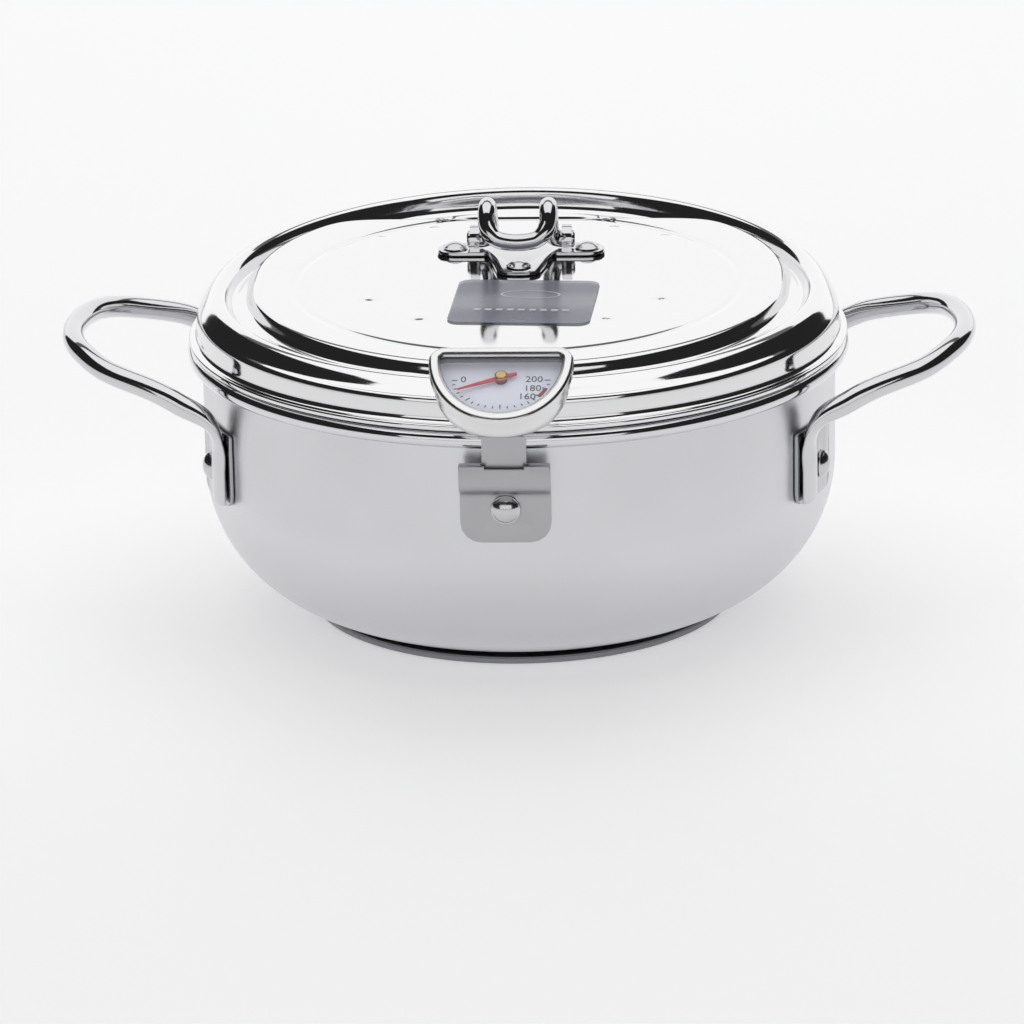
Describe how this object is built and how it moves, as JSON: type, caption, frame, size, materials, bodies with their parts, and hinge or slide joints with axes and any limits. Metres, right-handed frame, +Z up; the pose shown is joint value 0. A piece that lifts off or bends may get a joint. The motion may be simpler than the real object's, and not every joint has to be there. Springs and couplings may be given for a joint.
{
  "type": "stovetop deep-frying pot",
  "caption": "Round-bottomed steel frying pot with wire side handles, a drain lid with a folding hook, and a lift-out oil thermometer held at the front.",
  "frame": {"origin": "centre of the underside of the base disc, on the pot's axis", "axes": "+Z up along the pot's axis, -Y towards the thermometer at the front, +X through the right side handle"},
  "size_m": [0.293, 0.2435, 0.1298],
  "materials": {
    "satin_steel": "satin stainless steel with soft, broad reflections",
    "base_steel": "brushed steel disc with fine turning marks",
    "polished_steel": "mirror-polished stainless steel",
    "lid_steel": "mirror-polished stainless sheet",
    "plate_steel": "polished stainless plate",
    "rivet_steel": "bright steel rivet",
    "holder_steel": "bent satin stainless strip",
    "case_steel": "drawn and polished stainless case",
    "lens_glass": "clear, slightly domed window",
    "gasket_rubber": "matt black seal",
    "dial_paint": null,
    "brass": "turned brass",
    "bimetal": "rolled bimetal strip",
    "pointer_red": "red paint",
    "label_film": null
  },
  "bodies": {
    "pot": {"pot_shell": "satin_steel", "base_disc": "base_steel", "side_handle_left": "polished_steel", "side_handle_right": "polished_steel", "handle_plate_left_front": "plate_steel", "handle_plate_left_rear": "plate_steel", "handle_plate_right_front": "plate_steel", "handle_plate_right_rear": "plate_steel", "handle_rivet_left_front": "rivet_steel", "handle_rivet_left_rear": "rivet_steel", "handle_rivet_right_front": "rivet_steel", "handle_rivet_right_rear": "rivet_steel", "thermometer_holder": "holder_steel", "holder_rivet": "rivet_steel"},
    "lid": {"lid_shell": "lid_steel", "lid_bracket": "polished_steel", "bracket_rivet_left": "rivet_steel", "bracket_rivet_right": "rivet_steel", "bracket_rivet_front": "rivet_steel", "lid_label": "label_film"},
    "hook": {"lid_handle": "polished_steel"},
    "thermometer": {"thermometer_case": "case_steel", "thermometer_bezel": "polished_steel", "thermometer_lens": "lens_glass", "lens_gasket": "gasket_rubber", "dial_plate": "dial_paint", "shaft_bush": "brass", "bimetal_coil": "bimetal", "coil_anchor": "brass", "thermometer_tab": "holder_steel", "tab_rivet_left": "rivet_steel", "tab_rivet_right": "rivet_steel"},
    "needle": {"pointer_shaft": "brass", "pointer": "pointer_red", "pointer_hub": "brass"}
  },
  "joints": [
    {"name": "lid_lift", "type": "slide", "parent": "pot", "child": "lid", "axis": [0, 0, 1], "range_m": [0, 0.12]},
    {"name": "hook_fold", "type": "hinge", "parent": "lid", "child": "hook", "pos_m": [0, 0.03091, 0.11079], "axis": [-1, 0, 0], "range_deg": [0, 78]},
    {"name": "thermometer_lift", "type": "slide", "parent": "pot", "child": "thermometer", "axis": [0, 0, 1], "range_m": [0, 0.05]},
    {"name": "needle_turn", "type": "hinge", "parent": "thermometer", "child": "needle", "pos_m": [0, -0.1172, 0.1121], "axis": [0, -0.4384, 0.8988], "range_deg": [-20.7, 159.3], "stiffness_Nm_per_rad": 0.002}
  ]
}
